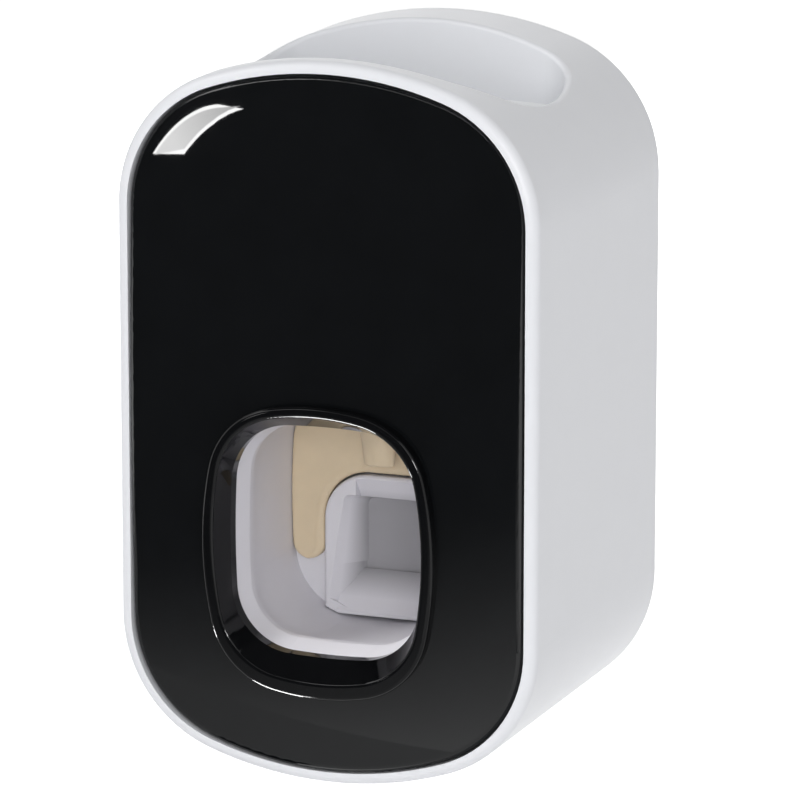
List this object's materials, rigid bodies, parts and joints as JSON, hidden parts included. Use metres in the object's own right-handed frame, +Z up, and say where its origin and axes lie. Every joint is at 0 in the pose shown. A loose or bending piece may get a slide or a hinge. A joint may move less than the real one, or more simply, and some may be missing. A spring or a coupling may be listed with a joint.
{
  "type": "toothpaste dispenser",
  "caption": "Wall-mounted toothpaste dispenser: white sleeve with a mouth for the tube, glossy black pull-off front, window with a sprung pusher cup over a squeeze pump.",
  "frame": {"origin": "centre of the adhesive pad's rear face, on the wall, at the sleeve's mid-height", "axes": "+Z up, +Y into the wall, +X to the right of someone who faces the window"},
  "size_m": [0.093, 0.0832, 0.1526],
  "materials": {
    "white_gloss": "moulded, satin gloss",
    "black_gloss": "high gloss",
    "chamber_white": "moulded, satin",
    "pusher_grey": "moulded, satin",
    "inner_plastic": "moulded",
    "carrier_black": "moulded",
    "cream_silicone": "soft, matte",
    "clear_silicone": "soft, translucent",
    "bracket_plastic": "moulded",
    "pad_foam": "foam",
    "steel": "plain"
  },
  "bodies": {
    "wall_mount": {"wall_bracket": "bracket_plastic", "adhesive_pad": "pad_foam"},
    "dispenser": {"main_housing": "white_gloss", "back_plate": "inner_plastic", "back_plate_screws": "steel", "tube_well": "inner_plastic", "brush_chamber": "chamber_white", "deck_screws": "steel", "wiper_seal": "cream_silicone", "pusher_pin": "steel", "pusher_spring": "steel", "pump_body": "inner_plastic", "pump_bulb": "cream_silicone", "bulb_retainer": "inner_plastic", "pump_screws": "steel", "inlet_valve": "clear_silicone", "neck_seal": "clear_silicone", "neck_collar": "inner_plastic", "nozzle": "cream_silicone", "nozzle_collar": "inner_plastic"},
    "front_cover": {"fascia_panel": "black_gloss", "window_bezel": "black_gloss", "cover_carrier": "carrier_black"},
    "pusher_cup": {"pusher": "pusher_grey"}
  },
  "joints": [
    {"name": "wall_lift", "type": "slide", "parent": "wall_mount", "child": "dispenser", "axis": [0, 0, 1], "range_m": [0, 0.015]},
    {"name": "cover_pull", "type": "slide", "parent": "dispenser", "child": "front_cover", "axis": [0, -1, 0], "range_m": [0, 0.03]},
    {"name": "pusher_tilt", "type": "hinge", "parent": "dispenser", "child": "pusher_cup", "pos_m": [0, -0.03475, -0.048], "axis": [-1, 0, 0], "range_deg": [0, 14], "stiffness_Nm_per_rad": 0.3, "springref_deg": -6.88, "deforming": ["pusher_spring", "pump_bulb"]}
  ]
}
